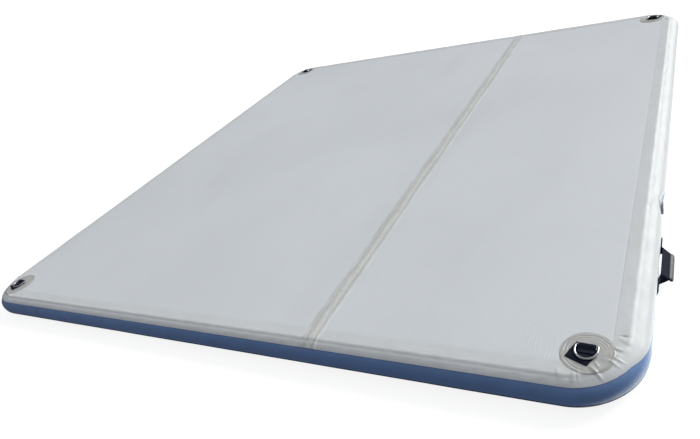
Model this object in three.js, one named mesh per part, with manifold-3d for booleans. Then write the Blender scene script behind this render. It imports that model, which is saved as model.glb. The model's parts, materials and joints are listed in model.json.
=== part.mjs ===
// An inflatable gymnastics mat, 3 m square and 100 mm thick, made of drop-stitch (double-wall) fabric.
// Millimetres, +Z up. The origin is the middle of the underside: +X is to the right, towards the side
// with the carry handle and the valve, and +Y runs away from the front edge.

import * as THREE from "three";
import { mergeVertices } from "three/addons/utils/BufferGeometryUtils.js";
import Module from "manifold-3d";

// ---- Driving dimensions ----

const GAP = 0.3; // left between two pieces that touch

// The inflated form: flat faces with a half-round edge all the way round.
const SIDE = 3000;
const THICK = 100;
const MID = THICK / 2;
const FLAT_HALF = SIDE / 2 - MID; // the flat faces reach this far from the middle
const FLAT_RADIUS = 150; // plan radius of the flat faces' corners
const SEAM_X = 500; // where the 2 m and the 1 m fabric widths meet
const PANEL = 1.4; // coated fabric of the top and bottom
const BAND = 1.2; // coloured sidewall band
const INNER_PLY = 0.7; // airtight ply behind the band
const TAPE = 0.7;
const TAPE_REACH = 40; // how far an edge tape laps onto the flat faces
const TOP_TAPE_EDGE = 88; // height of the top edge tape's lower edge
const BOTTOM_TAPE_EDGE = 32; // height of the bottom edge tape's upper edge
const RIGHT_TOP_TAPE_EDGE = 60; // both edges sit lower than that along the right side
const RIGHT_BOTTOM_TAPE_EDGE = 21;
const TAPE_DROP_START = 1390; // Y of the places, front and back, where they begin and end their drop
const TAPE_DROP_END = 1235;
const SEAM_TAPE_HALF = 36.5;

// Drop-stitch yarns, drawn as folded webs, one fold for each band of yarn rows.
const YARN_WEB = 2;
const YARN_REACH = 1360;
const YARN_PITCH = 130;

// The dimple that the stiff valve pulls into the soft sidewall.
const VALVE_Y = -637;
const DIMPLE_DEPTH = 13;
const DIMPLE_FLOOR_RADIUS = 36;
const DIMPLE_RIM_RADIUS = 83;
const TAPE_NOTCH_RADIUS = 31; // the edge tapes are cut back round the valve

// Valve, along its own axis: 0 is the band's face in the dimple, and outwards is positive.
const NECK_RADIUS = 20;
const BORE_RADIUS = 16;
const FLANGE_RADIUS = 28;
const FLANGE = 3;
const GASKET = 1;
const COLLAR_RADIUS = 21;
const COLLAR = 3.2;
const LIP_RADIUS = 22.5;
const LIP = 0.9;
const NECK_DEPTH = 38;
const SPIDER_DEPTH = 26; // depth of the spider's front face below the band's face
const SPIDER = 3;
const HUB_RADIUS = 5;
const STEM_RADIUS = 2;
const BUTTON_RADIUS = 6;
const BUTTON_DEPTH = 8.5; // depth of the button's front face
const BUTTON = 3;
const DISC_RADIUS = 18.5;
const DISC = 2.4;
const SEAL = 1.6;
const SPRING_RADIUS = 3.8;
const SPRING_WIRE = 0.5;
const SPRING_TURNS = 5;
const NUT_RADIUS = 27.5;
const NUT = 7;
const LEASH_WIDTH = 4.2;
const LEASH = 1.6;
const HINGE_Y = 29; // the cap's living hinge, from the valve axis
const TAB_HALF = 6;
const CAP_RADIUS = 20;
const CAP_LIP_RADIUS = 21;
const CAP_RIM_RADIUS = 22.5;
const CAP_RIM = 1.5;
const CAP_LIP = 0.8;
const CAP_SEAL = 1;
const PLUG_RADIUS = 15;
const PLUG_DEPTH = 5;
const PLUG_WALL = 2;
const EYE = 1.2;
const GRIP_HEIGHT = 2;

// Carry handle, on the same side as the valve.
const HANDLE_Y = -935;
const HANDLE_HALF = 68; // half length of the moving strap
const HANDLE_HINGE_X = 1506;
const HANDLE_HINGE_Z = 60;
const HANDLE_TILT = (-45 * Math.PI) / 180;
const STRAP = 3;
const STRAP_DROP = 34; // width of the strap, from its hinge line out to the grip
const GRIP_RADIUS = 6;
const PATCH_HALF = 40;
const PATCH_LOW = 23;
const PATCH_HIGH = 59;
const PATCH_OUT = 92; // middle of each handle patch, from the handle's middle
const TAIL_LENGTH = 50;
const TAIL_LOW = 26;
const TAIL_HIGH = 58;

// D-rings, each on a round patch near a corner of the top.
const RING_PATCH_RADIUS = 71;
const RING_PATCH = 1;
const RING_BASE_WIDTH = 66;
const RING_BASE_LENGTH = 60;
const RING_BASE = 1.5;
const RING_BASE_X = -14;
const RING_BASE_Y = -7;
const RING_BASE_TURN = (-23 * Math.PI) / 180;
const RING_X = -2; // middle of the ring's bar, from the patch's middle
const RING_Y = 17;
const RING_TURN = (-4 * Math.PI) / 180;
const RING_REST = (2.6 * Math.PI) / 180; // the ring's free side leans down onto the base
const RING_WIRE = 3; // radius
const RING_HALF = 29; // half of the bar, along the wire's middle line
const RING_SIDE = 15; // straight part of each side
const RING_RUNNING = 0.5; // clearance round the bar in its webbing loop
const WEBBING = 1.6;
const LOOP_HALF = 22;
const LOOP_LEG = 23;
const RING_PLACES = [
  { corner: "front_left", x: -1352, y: -1371, turn: 0 },
  { corner: "front_right", x: 1352, y: -1371, turn: 0 },
  { corner: "back_left", x: -1352, y: 1371, turn: Math.PI },
  { corner: "back_right", x: 1352, y: 1371, turn: Math.PI },
];

// Roundness of the facets.
const CORNER_SEGMENTS = 4; // doubled along each quarter-round corner
const EDGE_SEGMENTS = 5; // from the flat face down to mid height
const DIMPLE_SEGMENTS = 28;
const LATHE_SEGMENTS = 24;

// ---- Materials ----

function coat(hex, roughness, metalness = 0) {
  return new THREE.MeshStandardMaterial({ color: hex, roughness, metalness });
}

const topFabric = () => coat(0xc6cacd, 0.55);
const tapeFabric = () => coat(0xcbcfd0, 0.4);
const seamFabric = () => coat(0xbcbfb8, 0.5);
const blueFabric = () => coat(0x30508a, 0.45);
const navyFabric = () => coat(0x0d1830, 0.5);
const baseFabric = () => coat(0x8a9096, 0.7);
const yarn = () => coat(0xe8e8e4, 0.9);
const webbing = () => coat(0x14161a, 0.85);
const steel = () => coat(0xb9bcc0, 0.25, 1);
const whitePlastic = () => coat(0xe4e8ea, 0.35);
const greyPlastic = () => coat(0x9aa1a8, 0.4);
const blackRubber = () => coat(0x17181a, 0.8);

// ---- Solids: three.js shapes, joined and cut by manifold-3d ----

const wasm = await Module();
wasm.setup();

function solid(geometry) {
  const bare = geometry.clone();
  bare.deleteAttribute("normal");
  bare.deleteAttribute("uv");
  const merged = mergeVertices(bare, 1e-4);
  return new wasm.Manifold(
    new wasm.Mesh({
      numProp: 3,
      vertProperties: new Float32Array(merged.attributes.position.array),
      triVerts: new Uint32Array(merged.index.array),
    }),
  );
}

function piece(name, made, material) {
  const cut = made.getMesh();
  const geometry = new THREE.BufferGeometry();
  geometry.setAttribute("position", new THREE.BufferAttribute(cut.vertProperties, 3));
  geometry.setIndex(new THREE.BufferAttribute(cut.triVerts, 1));
  geometry.computeVertexNormals();
  const mesh = new THREE.Mesh(geometry, material);
  mesh.name = name;
  return mesh;
}

function box(low, high) {
  const size = high.map((value, axis) => value - low[axis]);
  const middle = high.map((value, axis) => (value + low[axis]) / 2);
  return solid(new THREE.BoxGeometry(...size).translate(...middle));
}

// A solid of revolution about +X, from [distance along the axis, radius] points.
function turned(points, segments = LATHE_SEGMENTS) {
  const profile = points.map(([along, radius]) => new THREE.Vector2(radius, along));
  return solid(new THREE.LatheGeometry(profile, segments).rotateZ(-Math.PI / 2));
}

// A flat ring or disc about +X.
function washer(low, high, inner, outer) {
  const profile = [
    [low, inner],
    [low, outer],
    [high, outer],
    [high, inner],
  ];
  return turned(inner > 0 ? [...profile, profile[0]] : profile);
}

function prism(shape, low, high) {
  const settings = { depth: high - low, bevelEnabled: false, curveSegments: CORNER_SEGMENTS };
  return solid(new THREE.ExtrudeGeometry(shape, settings).translate(0, 0, low));
}

// ---- The inflated form and its skins ----

function roundedSquare(half, radius) {
  const straight = half - radius;
  const shape = new THREE.Shape();
  shape.absarc(straight, -straight, radius, -Math.PI / 2, 0);
  shape.absarc(straight, straight, radius, 0, Math.PI / 2);
  shape.absarc(-straight, straight, radius, Math.PI / 2, Math.PI);
  shape.absarc(-straight, -straight, radius, Math.PI, (3 * Math.PI) / 2);
  return shape;
}

// The flat faces' outline, moved outwards by grow.
function flatOutline(grow) {
  return roundedSquare(FLAT_HALF + grow, FLAT_RADIUS + grow);
}

// The whole inflated form, inset from the outermost skin, with the valve's dimple.
function airForm(inset) {
  const middleBand = 1;
  const roundThickness = (THICK - 2 * inset - middleBand) / 2;
  const round = new THREE.ExtrudeGeometry(flatOutline(0), {
    depth: middleBand,
    bevelThickness: roundThickness,
    bevelSize: MID - inset,
    bevelSegments: EDGE_SEGMENTS,
    curveSegments: CORNER_SEGMENTS,
  }).translate(0, 0, inset + roundThickness);
  return solid(round).subtract(dimple(inset));
}

function dimple(inset) {
  const slope = (DIMPLE_RIM_RADIUS - DIMPLE_FLOOR_RADIUS) / DIMPLE_DEPTH;
  const height = DIMPLE_DEPTH + 3;
  const rim = DIMPLE_FLOOR_RADIUS + slope * height;
  const cone = new THREE.CylinderGeometry(rim, DIMPLE_FLOOR_RADIUS, height, DIMPLE_SEGMENTS);
  cone.rotateZ(-Math.PI / 2);
  cone.translate(SIDE / 2 - DIMPLE_DEPTH + height / 2 - inset, VALVE_Y, MID);
  return solid(cone);
}

function skin(outerInset, thickness) {
  return airForm(outerInset).subtract(airForm(outerInset + thickness));
}

function valveHole(radius) {
  const reach = 80;
  const hole = new THREE.CylinderGeometry(radius, radius, reach, LATHE_SEGMENTS);
  hole.rotateZ(-Math.PI / 2).translate(SIDE / 2 - reach / 2 + 10, VALVE_Y, MID);
  return solid(hole);
}

const bandInset = TAPE + GAP;
const plyInset = bandInset + BAND + GAP;
const bandFaceX = SIDE / 2 - DIMPLE_DEPTH - bandInset;
const tapeInside = prism(flatOutline(-TAPE_REACH), -1, THICK + 1);
const overEverything = SIDE;

// Everything below a tape's edge, which is level but drops to a lower level along the right side.
function belowTapeEdge(height, rightHeight) {
  const level = box(
    [-overEverything, -overEverything, -overEverything],
    [overEverything, overEverything, height],
  );
  const drop = new THREE.Shape();
  drop.moveTo(-TAPE_DROP_START, height + 1);
  drop.lineTo(-TAPE_DROP_START, height);
  drop.lineTo(-TAPE_DROP_END, rightHeight);
  drop.lineTo(TAPE_DROP_END, rightHeight);
  drop.lineTo(TAPE_DROP_START, height);
  drop.lineTo(TAPE_DROP_START, height + 1);
  const alongX = new THREE.ExtrudeGeometry(drop, { depth: overEverything, bevelEnabled: false });
  alongX.rotateX(Math.PI / 2);
  alongX.rotateZ(Math.PI / 2);
  return level.subtract(solid(alongX));
}

function edgeTape(name, layer, material) {
  const made = skin(0, TAPE).intersect(layer).subtract(tapeInside);
  return piece(name, made.subtract(valveHole(TAPE_NOTCH_RADIUS)), material);
}

function sidewallBand() {
  const made = skin(bandInset, BAND).subtract(prism(flatOutline(0), -1, THICK + 1));
  return piece("sidewall_band", made.subtract(valveHole(NECK_RADIUS + 2 * GAP)), blueFabric());
}

function sidewallInnerPly() {
  const made = skin(plyInset, INNER_PLY).subtract(tapeInside);
  return piece("sidewall_inner_ply", made.subtract(valveHole(NECK_RADIUS + 2 * GAP)), baseFabric());
}

// A face panel, with shallow rebates in which the edge tape and the seam tape lie flush.
function facePanel(name, isTop, xLow, xHigh, material) {
  const inner = isTop ? THICK - PANEL : PANEL;
  const outer = isTop ? THICK : 0;
  const rebate = isTop ? THICK - TAPE - GAP : TAPE + GAP;
  const beyond = isTop ? THICK + 1 : -1;
  const layer = [Math.min(inner, outer), Math.max(inner, outer)];
  const cut = [Math.min(rebate, beyond), Math.max(rebate, beyond)];
  const cutWide = SEAM_TAPE_HALF + GAP;
  const edgeRebate = prism(flatOutline(1), ...cut).subtract(
    prism(flatOutline(-TAPE_REACH - GAP), cut[0] - 1, cut[1] + 1),
  );
  const seamRebate = box(
    [SEAM_X - cutWide, -overEverything, cut[0]],
    [SEAM_X + cutWide, overEverything, cut[1]],
  );
  const width = box([xLow, -overEverything, -1], [xHigh, overEverything, THICK + 1]);
  const blank = prism(flatOutline(-GAP), ...layer);
  const made = blank.subtract(edgeRebate).subtract(seamRebate).intersect(width);
  return piece(name, made, material);
}

function seamTape(name, low, high, material) {
  const end = FLAT_HALF - TAPE_REACH - GAP;
  const made = box([SEAM_X - SEAM_TAPE_HALF, -end, low], [SEAM_X + SEAM_TAPE_HALF, end, high]);
  return piece(name, made, material);
}

// Rows of yarn between the top and the bottom, drawn as one web folded to and fro.
function yarnWeb(name, xLow, xHigh) {
  const rows = Math.round((xHigh - xLow) / YARN_PITCH);
  const half = YARN_WEB / 2;
  const leftSide = [];
  const rightSide = [];
  for (let row = 0; row <= rows; row += 1) {
    const x = xLow + (row * (xHigh - xLow)) / rows;
    const way = row % 2 === 0 ? 1 : -1;
    for (const end of [-way, way]) {
      leftSide.push(new THREE.Vector2(x - way * half, end * YARN_REACH + half));
      rightSide.unshift(new THREE.Vector2(x + way * half, end * YARN_REACH - half));
    }
  }
  const web = new THREE.Shape([...rightSide, ...leftSide]);
  return piece(name, prism(web, PANEL + GAP, THICK - PANEL - GAP), yarn());
}

function inflatedForm() {
  const group = new THREE.Group();
  const beside = GAP / 2;
  group.add(facePanel("top_panel_wide", true, -SIDE, SEAM_X - beside, topFabric()));
  group.add(facePanel("top_panel_narrow", true, SEAM_X + beside, SIDE, topFabric()));
  group.add(facePanel("bottom_panel_wide", false, -SIDE, SEAM_X - beside, baseFabric()));
  group.add(facePanel("bottom_panel_narrow", false, SEAM_X + beside, SIDE, baseFabric()));
  group.add(seamTape("top_seam_tape", THICK - TAPE, THICK, seamFabric()));
  group.add(seamTape("bottom_seam_tape", 0, TAPE, baseFabric()));
  const wholeMat = box([-overEverything, -overEverything, -1], [overEverything, overEverything, THICK + 1]);
  const aboveTopEdge = wholeMat.subtract(belowTapeEdge(TOP_TAPE_EDGE, RIGHT_TOP_TAPE_EDGE));
  const belowBottomEdge = belowTapeEdge(BOTTOM_TAPE_EDGE, RIGHT_BOTTOM_TAPE_EDGE);
  group.add(edgeTape("top_edge_tape", aboveTopEdge, tapeFabric()));
  group.add(edgeTape("bottom_edge_tape", belowBottomEdge, navyFabric()));
  group.add(sidewallBand());
  group.add(sidewallInnerPly());
  const seamClear = 40;
  group.add(yarnWeb("drop_stitch_yarns_wide", -YARN_REACH - 20, SEAM_X - seamClear));
  group.add(yarnWeb("drop_stitch_yarns_narrow", SEAM_X + seamClear, YARN_REACH + 20));
  return group;
}

// ---- Inflation valve, about its own +X axis ----

const gasketFront = GAP + GASKET;
const flangeBack = gasketFront + GAP;
const flangeFront = flangeBack + FLANGE;
const collarFront = flangeFront + COLLAR;
const neckBack = -NECK_DEPTH;
const seatInner = 12;

function valveBody() {
  const shell = turned([
    [neckBack, seatInner],
    [neckBack, NECK_RADIUS],
    [flangeBack, NECK_RADIUS],
    [flangeBack, FLANGE_RADIUS],
    [flangeFront, FLANGE_RADIUS],
    [flangeFront, COLLAR_RADIUS],
    [collarFront - LIP, COLLAR_RADIUS],
    [collarFront - LIP, LIP_RADIUS],
    [collarFront, LIP_RADIUS],
    [collarFront, BORE_RADIUS],
    [neckBack + 3, BORE_RADIUS],
    [neckBack + 3, seatInner],
    [neckBack, seatInner],
  ]);
  const spiderBack = -SPIDER_DEPTH - SPIDER;
  const hub = washer(spiderBack, -SPIDER_DEPTH, 0, HUB_RADIUS);
  const armHalf = 1.5;
  const armEnd = BORE_RADIUS + 1;
  const across = box([spiderBack, -armEnd, -armHalf], [-SPIDER_DEPTH, armEnd, armHalf]);
  const upright = box([spiderBack, -armHalf, -armEnd], [-SPIDER_DEPTH, armHalf, armEnd]);
  const stemHole = washer(spiderBack - 1, -SPIDER_DEPTH + 1, 0, STEM_RADIUS + GAP);
  const made = shell.add(hub).add(across).add(upright).subtract(stemHole);
  return piece("valve_body", made, whitePlastic());
}

function valvePlunger() {
  const sealBack = neckBack - GAP - SEAL - GAP;
  const made = turned([
    [sealBack - DISC, 0],
    [sealBack - DISC, DISC_RADIUS],
    [sealBack, DISC_RADIUS],
    [sealBack, STEM_RADIUS],
    [-BUTTON_DEPTH - BUTTON, STEM_RADIUS],
    [-BUTTON_DEPTH - BUTTON, BUTTON_RADIUS],
    [-BUTTON_DEPTH, BUTTON_RADIUS],
    [-BUTTON_DEPTH, 0],
  ]);
  return piece("valve_plunger", made, greyPlastic());
}

function plungerSeal() {
  const made = washer(neckBack - GAP - SEAL, neckBack - GAP, STEM_RADIUS + GAP, DISC_RADIUS - 1);
  return piece("valve_plunger_seal", made, blackRubber());
}

class Helix extends THREE.Curve {
  constructor(start, end, radius, turns) {
    super();
    Object.assign(this, { start, end, radius, turns });
  }

  getPoint(t, target = new THREE.Vector3()) {
    const angle = 2 * Math.PI * this.turns * t;
    const along = this.start + (this.end - this.start) * t;
    return target.set(along, this.radius * Math.cos(angle), this.radius * Math.sin(angle));
  }
}

function valveSpring() {
  const clear = SPRING_WIRE + GAP;
  const path = new Helix(
    -SPIDER_DEPTH + clear,
    -BUTTON_DEPTH - BUTTON - clear,
    SPRING_RADIUS,
    SPRING_TURNS,
  );
  const wire = new THREE.Shape().absarc(0, 0, SPRING_WIRE, 0, 2 * Math.PI);
  const settings = { steps: 11 * SPRING_TURNS, curveSegments: 3, extrudePath: path };
  return piece("valve_spring", solid(new THREE.ExtrudeGeometry(wire, settings)), steel());
}

// The leash turns in the groove behind the body's lip, and carries the cap on a living hinge.
function valveLeash() {
  const low = flangeFront + GAP;
  const high = low + LEASH;
  const inner = COLLAR_RADIUS + 0.4;
  const ring = washer(low, high, inner, inner + LEASH_WIDTH);
  const tab = box([low, inner + 1, -TAB_HALF], [high, HINGE_Y - 0.5, TAB_HALF]);
  return piece("valve_leash", ring.add(tab), greyPlastic());
}

const sealLow = collarFront + GAP;
const capLow = sealLow + CAP_SEAL + GAP;
const eyeLow = capLow + CAP_LIP + GAP;
const eyeHigh = eyeLow + EYE;
const rimLow = eyeHigh + GAP;
const rimHigh = rimLow + CAP_RIM;

// The eye at the leash's far end, in which the cap turns.
function capEye() {
  const inner = CAP_RADIUS + GAP;
  const ring = washer(eyeLow, eyeHigh, inner, inner + LEASH_WIDTH);
  const tab = box([eyeLow, inner + 1, -TAB_HALF], [eyeHigh, HINGE_Y + 2, TAB_HALF]);
  const knuckle = box([flangeFront + GAP, HINGE_Y, -TAB_HALF], [eyeHigh, HINGE_Y + 2, TAB_HALF]);
  return piece("valve_cap_eye", ring.add(tab).add(knuckle), greyPlastic());
}

function valveCap() {
  const plugInner = PLUG_RADIUS - PLUG_WALL;
  const shell = turned([
    [rimLow - 1, 0],
    [rimLow - 1, plugInner],
    [collarFront - PLUG_DEPTH, plugInner],
    [collarFront - PLUG_DEPTH, PLUG_RADIUS],
    [capLow, PLUG_RADIUS],
    [capLow, CAP_LIP_RADIUS],
    [eyeLow - GAP, CAP_LIP_RADIUS],
    [eyeLow - GAP, CAP_RADIUS],
    [rimLow, CAP_RADIUS],
    [rimLow, CAP_RIM_RADIUS],
    [rimHigh, CAP_RIM_RADIUS],
    [rimHigh, 0],
  ]);
  const gripHalf = CAP_RIM_RADIUS - 5;
  const grip = box([rimHigh - 0.5, -gripHalf, -2], [rimHigh + GRIP_HEIGHT, gripHalf, 2]);
  return piece("valve_cap", shell.add(grip), whitePlastic());
}

function capSeal() {
  const made = washer(sealLow, sealLow + CAP_SEAL, PLUG_RADIUS + GAP, CAP_LIP_RADIUS - 1);
  return piece("valve_cap_seal", made, blackRubber());
}

function lockNut() {
  const wallInside = -(BAND + GAP + INNER_PLY) - GAP;
  const ring = washer(wallInside - NUT, wallInside, NECK_RADIUS + GAP, NUT_RADIUS);
  const notches = [0, 1, 2, 3].map((quarter) => {
    const notch = new THREE.BoxGeometry(2 * NUT, 5, 3).translate(wallInside - NUT, 0, NUT_RADIUS);
    return solid(notch.rotateX((quarter * Math.PI) / 2));
  });
  const made = notches.reduce((left, notch) => left.subtract(notch), ring);
  return piece("valve_lock_nut", made, whitePlastic());
}

function valve() {
  const group = new THREE.Group();
  const gasket = washer(GAP, gasketFront, NECK_RADIUS + GAP, FLANGE_RADIUS);
  group.add(piece("valve_gasket", gasket, blackRubber()));
  group.add(valveBody(), valvePlunger(), plungerSeal(), valveSpring());
  group.add(lockNut(), valveLeash(), capEye(), valveCap(), capSeal());
  group.position.set(bandFaceX, VALVE_Y, MID);
  return group;
}

// ---- Carry handle ----

// A patch on the sidewall, in the same layer as the tapes and between them.
function handlePatch(name, y) {
  const area = box([FLAT_HALF, y - PATCH_HALF, PATCH_LOW], [SIDE, y + PATCH_HALF, PATCH_HIGH]);
  return piece(name, skin(0, TAPE).intersect(area), blueFabric());
}

// The sewn-down end of the webbing, standing flat against the sidewall.
function handleTail(name, y) {
  const low = SIDE / 2 + GAP;
  const half = TAIL_LENGTH / 2;
  const made = box([low, y - half, TAIL_LOW], [low + STRAP, y + half, TAIL_HIGH]);
  return piece(name, made, webbing());
}

// The free part of the webbing hangs from its hinge line, which is the group's own Y axis.
function handleSwing() {
  const group = new THREE.Group();
  const strap = box([0, -HANDLE_HALF, -STRAP / 2], [STRAP_DROP, HANDLE_HALF, STRAP / 2]);
  group.add(piece("handle_strap", strap, webbing()));
  const length = 2 * HANDLE_HALF;
  const grip = new THREE.CylinderGeometry(GRIP_RADIUS, GRIP_RADIUS, length, 12);
  grip.translate(STRAP_DROP + GRIP_RADIUS + GAP, 0, 0);
  group.add(piece("handle_grip", solid(grip), blackRubber()));
  group.position.set(HANDLE_HINGE_X, HANDLE_Y, HANDLE_HINGE_Z);
  group.rotation.y = -HANDLE_TILT;
  return group;
}

function handle() {
  const group = new THREE.Group();
  for (const [end, sign] of [["front", -1], ["back", 1]]) {
    const y = HANDLE_Y + sign * PATCH_OUT;
    group.add(handlePatch(`handle_patch_${end}`, y));
    group.add(handleTail(`handle_tail_${end}`, y + (sign * TAIL_LENGTH) / 10));
  }
  group.add(handleSwing());
  return group;
}

// ---- D-rings ----

const patchTop = THICK + GAP + RING_PATCH;
const baseTop = patchTop + GAP + RING_BASE;
const loopInner = RING_WIRE + RING_RUNNING;
const loopOuter = loopInner + WEBBING;
const barHeight = baseTop + GAP + loopOuter;

// A closed loop of webbing round the bar, with both legs lying on the base.
function ringLoop(name) {
  const shape = new THREE.Shape();
  const legTop = -loopOuter + 2 * WEBBING;
  shape.moveTo(-LOOP_LEG, -loopOuter);
  shape.lineTo(0, -loopOuter);
  shape.absarc(0, 0, loopOuter, -Math.PI / 2, (2 * Math.PI) / 3);
  shape.lineTo(-LOOP_LEG / 2, legTop);
  shape.lineTo(-LOOP_LEG, legTop);
  shape.holes.push(new THREE.Path().absarc(0, 0, loopInner, 0, 2 * Math.PI));
  const settings = { depth: 2 * LOOP_HALF, bevelEnabled: false, curveSegments: 5 };
  const strap = new THREE.ExtrudeGeometry(shape, settings).translate(0, 0, -LOOP_HALF);
  // The outline's x runs along +Y, its y up, and the extrusion across.
  strap.applyMatrix4(
    new THREE.Matrix4().makeBasis(
      new THREE.Vector3(0, 1, 0),
      new THREE.Vector3(0, 0, 1),
      new THREE.Vector3(1, 0, 0),
    ),
  );
  return piece(name, solid(strap), webbing());
}

// A bent wire: a straight bar, two short sides and a half circle.
function ringWire(name) {
  const bend = RING_HALF;
  const torus = new THREE.TorusGeometry(bend, RING_WIRE, 8, 20).translate(0, -RING_SIDE, 0);
  const half = box(
    [-SIDE, -SIDE, -RING_WIRE - 1],
    [SIDE, -RING_SIDE, RING_WIRE + 1],
  );
  const rod = (length) => new THREE.CylinderGeometry(RING_WIRE, RING_WIRE, length, 8);
  const ball = () => new THREE.SphereGeometry(RING_WIRE, 8, 6);
  let made = solid(torus).intersect(half).add(solid(rod(2 * bend).rotateZ(Math.PI / 2)));
  for (const side of [-1, 1]) {
    const overlap = 0.2;
    const leg = rod(RING_SIDE + overlap).translate(side * bend, -(RING_SIDE + overlap) / 2, 0);
    made = made.add(solid(leg)).add(solid(ball().translate(side * bend, 0, 0)));
  }
  return piece(name, made, steel());
}

function ringAssembly({ corner, x, y, turn }) {
  const group = new THREE.Group();
  const disc = new THREE.CylinderGeometry(RING_PATCH_RADIUS, RING_PATCH_RADIUS, RING_PATCH, 32);
  disc.rotateX(Math.PI / 2).translate(0, 0, patchTop - RING_PATCH / 2);
  group.add(piece(`ring_patch_${corner}`, solid(disc), seamFabric()));

  const base = new THREE.BoxGeometry(RING_BASE_WIDTH, RING_BASE_LENGTH, RING_BASE);
  const basePiece = piece(`ring_base_${corner}`, solid(base), webbing());
  basePiece.position.set(RING_BASE_X, RING_BASE_Y, baseTop - RING_BASE / 2);
  basePiece.rotation.z = RING_BASE_TURN;
  group.add(basePiece);

  const ring = new THREE.Group();
  const wire = ringWire(`d_ring_${corner}`);
  wire.rotation.x = RING_REST;
  ring.add(ringLoop(`ring_loop_${corner}`), wire);
  ring.position.set(RING_X, RING_Y, barHeight);
  ring.rotation.z = RING_TURN;
  group.add(ring);

  group.position.set(x, y, 0);
  group.rotation.z = turn;
  return group;
}

// ---- The whole mat ----

const mat = new THREE.Group();
mat.add(inflatedForm(), valve(), handle());
RING_PLACES.forEach((place) => mat.add(ringAssembly(place)));

export default mat;
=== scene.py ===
"""The looks of the inflatable gymnastics mat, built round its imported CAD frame. Metres, +Z up."""

import json
import math

import bmesh
import bpy
import numpy as np
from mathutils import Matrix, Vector


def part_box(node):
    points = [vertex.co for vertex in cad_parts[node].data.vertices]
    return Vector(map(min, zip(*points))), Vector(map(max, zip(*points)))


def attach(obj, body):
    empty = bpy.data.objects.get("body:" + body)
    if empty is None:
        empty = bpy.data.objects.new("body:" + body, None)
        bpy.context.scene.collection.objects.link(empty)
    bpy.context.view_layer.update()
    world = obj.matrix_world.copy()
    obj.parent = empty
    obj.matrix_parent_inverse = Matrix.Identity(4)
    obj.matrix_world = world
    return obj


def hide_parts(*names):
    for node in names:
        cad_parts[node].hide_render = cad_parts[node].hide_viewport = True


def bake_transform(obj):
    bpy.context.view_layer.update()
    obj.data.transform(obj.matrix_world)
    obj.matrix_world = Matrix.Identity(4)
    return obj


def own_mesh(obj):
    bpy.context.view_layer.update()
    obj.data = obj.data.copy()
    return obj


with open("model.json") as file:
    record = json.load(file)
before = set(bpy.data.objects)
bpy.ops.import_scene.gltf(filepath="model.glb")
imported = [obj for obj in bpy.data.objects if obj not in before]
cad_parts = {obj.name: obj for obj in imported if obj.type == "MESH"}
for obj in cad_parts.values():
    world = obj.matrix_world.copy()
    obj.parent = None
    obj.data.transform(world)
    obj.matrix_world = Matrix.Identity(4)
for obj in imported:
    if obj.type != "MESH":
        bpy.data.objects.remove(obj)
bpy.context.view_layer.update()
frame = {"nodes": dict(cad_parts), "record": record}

# ---- Camera: the photograph's place and angle ----

CAMERA_AT = (1.5812, -2.3410, 1.2202)
CAMERA_TURN = (56.62, 15.51, 23.69)  # degrees, XYZ
CAMERA_LENS = 27.49  # mm, on a 36 mm sensor
CAMERA_SHIFT = (-0.0789, 0.0129)

# ---- Driving dimensions, from the CAD ----

THICK = 0.1
MID = THICK / 2
FLAT_HALF = 1.45  # the flat faces reach this far from the middle
FLAT_RADIUS = 0.15  # plan radius of the flat faces' corners
HALF_SIDE = FLAT_HALF + MID
ARC_CENTRE = FLAT_HALF - FLAT_RADIUS
SEAM_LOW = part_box("top_seam_tape")[0].x
SEAM_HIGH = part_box("top_seam_tape")[1].x
SEAM_X = (SEAM_LOW + SEAM_HIGH) / 2
TAPE_REACH = 0.040  # an edge tape's lap onto a flat face
TOP_TAPE_EDGE = 0.088  # the height of its lower edge
BOTTOM_TAPE_EDGE = 0.032  # the height of its upper edge
RIGHT_TOP_TAPE_EDGE = 0.060  # both edges sit lower than that along the right side
RIGHT_BOTTOM_TAPE_EDGE = 0.021
TAPE_DROP_START = 1.390  # Y of the places, front and back, where they begin and end their drop
TAPE_DROP_END = 1.235
TAPE = 0.0007
TAPE_PROUD = 0.0002  # the top tape stands this far out of the CAD's face
BAND_INSET = 0.001  # from the tapes' face to the band's
BAND = 0.0012
BAND_GAP = 0.004  # between the band's edges and the flat faces, along the curve
PLY_INSET = 0.0025
PLY = 0.0007
PANEL = 0.0012
PANEL_INSET = 0.0006

VALVE_Y = -0.637
DIMPLE_DEPTH = 0.013
DIMPLE_FLOOR = 0.036  # radius
DIMPLE_RIM = 0.083  # radius
DIMPLE_REACH = 0.13  # past this, to either side, the dimple is not felt
TAPE_NOTCH = 0.031  # radius
NECK_HOLE = 20.6  # radius in mm, through the sidewall's band and inner ply
BAND_FACE = HALF_SIDE - DIMPLE_DEPTH - BAND_INSET  # x of the band's face under the valve's flange

# Each corner, with the way its ring points.
CORNERS = {"front_left": 1, "front_right": 1, "back_left": -1, "back_right": -1}
CORNER_PLEATS = 17


# ---- Small tools ----

def waves(coordinates, wavelength, seed, terms=9):
    """Smooth noise, about -1 to 1, with features about a wavelength long."""
    draw = np.random.default_rng(seed)
    total = 0
    for _ in range(terms):
        heading = draw.normal(size=len(coordinates))
        heading /= np.linalg.norm(heading)
        turns = 2 * math.pi / (wavelength * draw.uniform(0.6, 1.6))
        along = sum(axis * share for axis, share in zip(coordinates, heading))
        total = total + np.sin(along * turns + draw.uniform(0, 2 * math.pi))
    return total / math.sqrt(2 * terms)


def smooth_step(value, low, high):
    t = np.clip((value - low) / (high - low), 0, 1)
    return t * t * (3 - 2 * t)


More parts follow.
